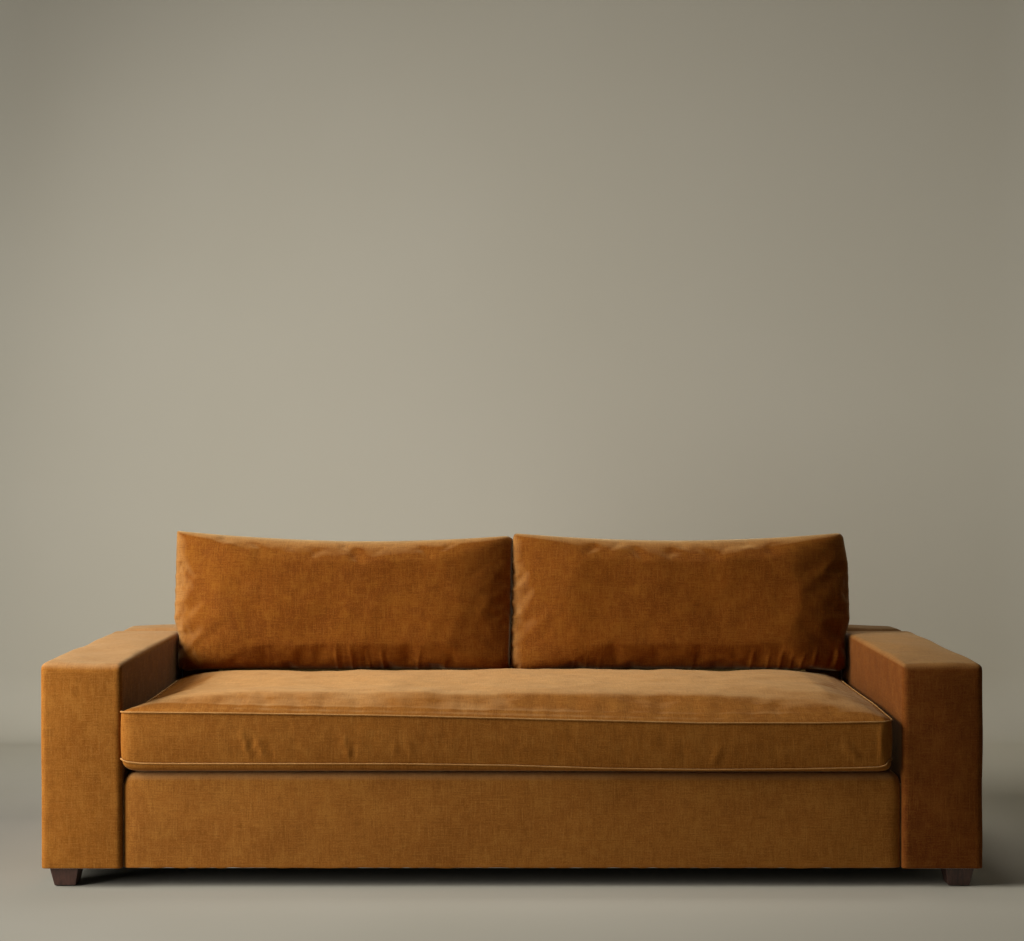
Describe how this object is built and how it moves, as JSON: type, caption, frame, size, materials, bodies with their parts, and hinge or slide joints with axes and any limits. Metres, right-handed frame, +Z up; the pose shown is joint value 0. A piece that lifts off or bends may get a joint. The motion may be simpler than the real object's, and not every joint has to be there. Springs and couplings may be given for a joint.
{
  "type": "tuxedo sofa",
  "caption": "Low track-arm tuxedo sofa in ochre velvet with a full-width bench seat cushion, loose leaning back cushions and short tapered block legs.",
  "frame": {"origin": "on the floor under the middle of the overall box", "axes": "+X along the sofa to its left-hand sitter, seen from the front to the right; -Y is the front; +Z up"},
  "size_m": [2.44, 1.068, 0.8763],
  "materials": {
    "velvet": "ochre camel velvet with a fine woven slub and a soft nap",
    "timber": "raw kiln-dried hardwood",
    "plywood": "raw plywood and hardboard",
    "leg_wood": "dark reddish brown stain, satin",
    "spring_steel": "drawn spring wire and zinc-plated fixings",
    "webbing": "woven jute webbing",
    "wadding": "polyester wadding",
    "foam": "open-cell foam",
    "cambric": "thin black non-woven cloth",
    "nylon": "moulded nylon",
    "zip_brass": "brass coil and slider"
  },
  "bodies": {
    "frame": {"front_rail": "timber", "rear_rail": "timber", "spring_rail": "timber", "side_rails": "timber", "cross_rails": "timber", "leg_blocks": "timber", "arm_front_panels": "plywood", "arm_rear_panels": "plywood", "arm_top_boards": "plywood", "arm_inner_rails": "timber", "arm_studs": "timber", "arm_side_panels": "plywood", "back_end_posts": "timber", "back_posts": "timber", "back_top_board": "plywood", "back_lower_rails": "timber", "back_outer_panel": "plywood", "seat_springs": "spring_steel", "spring_clips": "spring_steel", "spring_tie_wires": "spring_steel", "back_webbing": "webbing", "arm_webbing": "webbing", "left_arm_padding": "wadding", "right_arm_padding": "wadding", "back_padding": "wadding", "rail_padding": "wadding", "deck_pad": "foam", "deck_cloth": "velvet", "left_arm_cover": "velvet", "right_arm_cover": "velvet", "back_cover": "velvet", "rail_cover": "velvet", "dust_cover": "cambric", "front_left_leg": "leg_wood", "front_right_leg": "leg_wood", "rear_left_leg": "leg_wood", "rear_right_leg": "leg_wood", "center_leg": "leg_wood", "leg_bolts": "spring_steel", "leg_tee_nuts": "spring_steel", "floor_glides": "nylon"},
    "seat_cushion": {"seat_top_panel": "velvet", "seat_boxing": "velvet", "seat_bottom_panel": "velvet", "seat_welts": "velvet", "seat_fibre_wrap": "wadding", "seat_foam_core": "foam", "seat_zip": "zip_brass"},
    "seat_slider": {"seat_zip_slider": "zip_brass"},
    "left_back_cushion": {"left_back_front_panel": "velvet", "left_back_rear_panel": "velvet", "left_back_filling": "wadding", "left_back_zip": "zip_brass"},
    "left_slider": {"left_back_zip_slider": "zip_brass"},
    "right_back_cushion": {"right_back_front_panel": "velvet", "right_back_rear_panel": "velvet", "right_back_filling": "wadding", "right_back_zip": "zip_brass"},
    "right_slider": {"right_back_zip_slider": "zip_brass"}
  },
  "joints": [
    {"name": "seat_cushion_slide", "type": "slide", "parent": "frame", "child": "seat_cushion", "axis": [0, -1, 0], "range_m": [0, 0.85]},
    {"name": "left_back_cushion_lift", "type": "slide", "parent": "frame", "child": "left_back_cushion", "axis": [0, 0, 1], "range_m": [0, 0.42]},
    {"name": "right_back_cushion_lift", "type": "slide", "parent": "frame", "child": "right_back_cushion", "axis": [0, 0, 1], "range_m": [0, 0.42]},
    {"name": "seat_zip_pull", "type": "slide", "parent": "seat_cushion", "child": "seat_slider", "axis": [1, 0, 0], "range_m": [0, 1.388]},
    {"name": "left_back_zip_pull", "type": "slide", "parent": "left_back_cushion", "child": "left_slider", "axis": [1, 0, 0], "range_m": [0, 0.7475]},
    {"name": "right_back_zip_pull", "type": "slide", "parent": "right_back_cushion", "child": "right_slider", "axis": [-1, 0, 0], "range_m": [0, 0.7475]}
  ]
}
